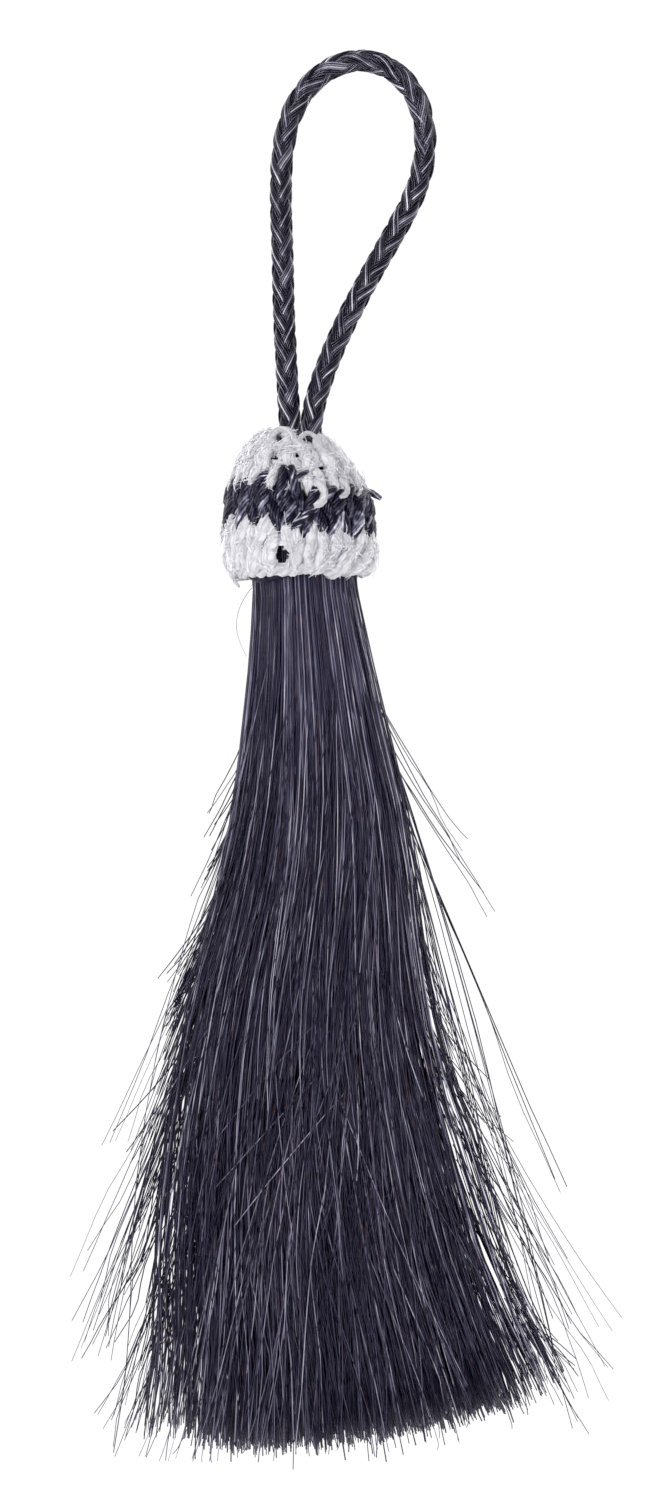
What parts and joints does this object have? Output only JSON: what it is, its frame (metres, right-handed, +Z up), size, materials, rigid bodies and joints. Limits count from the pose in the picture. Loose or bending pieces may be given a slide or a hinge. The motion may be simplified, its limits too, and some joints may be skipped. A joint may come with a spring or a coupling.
{
  "type": "horsehair tassel",
  "caption": "Horsehair tassel with a crocheted cap and a braided cord loop, lying on its back; the loop hangs it on a hook or ties it to tack or a key ring.",
  "frame": {"origin": "on the surface that the tassel lies on, below the middle of the skirt and cap together, the cord left out", "axes": "+Z up from the surface; +Y towards the cord loop, so the cut end of the hair lies towards -Y; +X to the right seen from above"},
  "size_m": [0.0619, 0.1692, 0.0163],
  "materials": {
    "horsehair": "black tail hair, smooth and slightly shiny, with a few dark brown hairs",
    "crochet_yarn": "white multi-strand yarn in lumpy crochet, with a band of black yarn in the middle",
    "braided_cord": "black horsehair in a round eight-strand braid, glossy along each strand"
  },
  "bodies": {
    "root": {"horsehair_skirt": "horsehair", "crocheted_cap": "crochet_yarn", "hanging_loop": "braided_cord"}
  },
  "joints": []
}
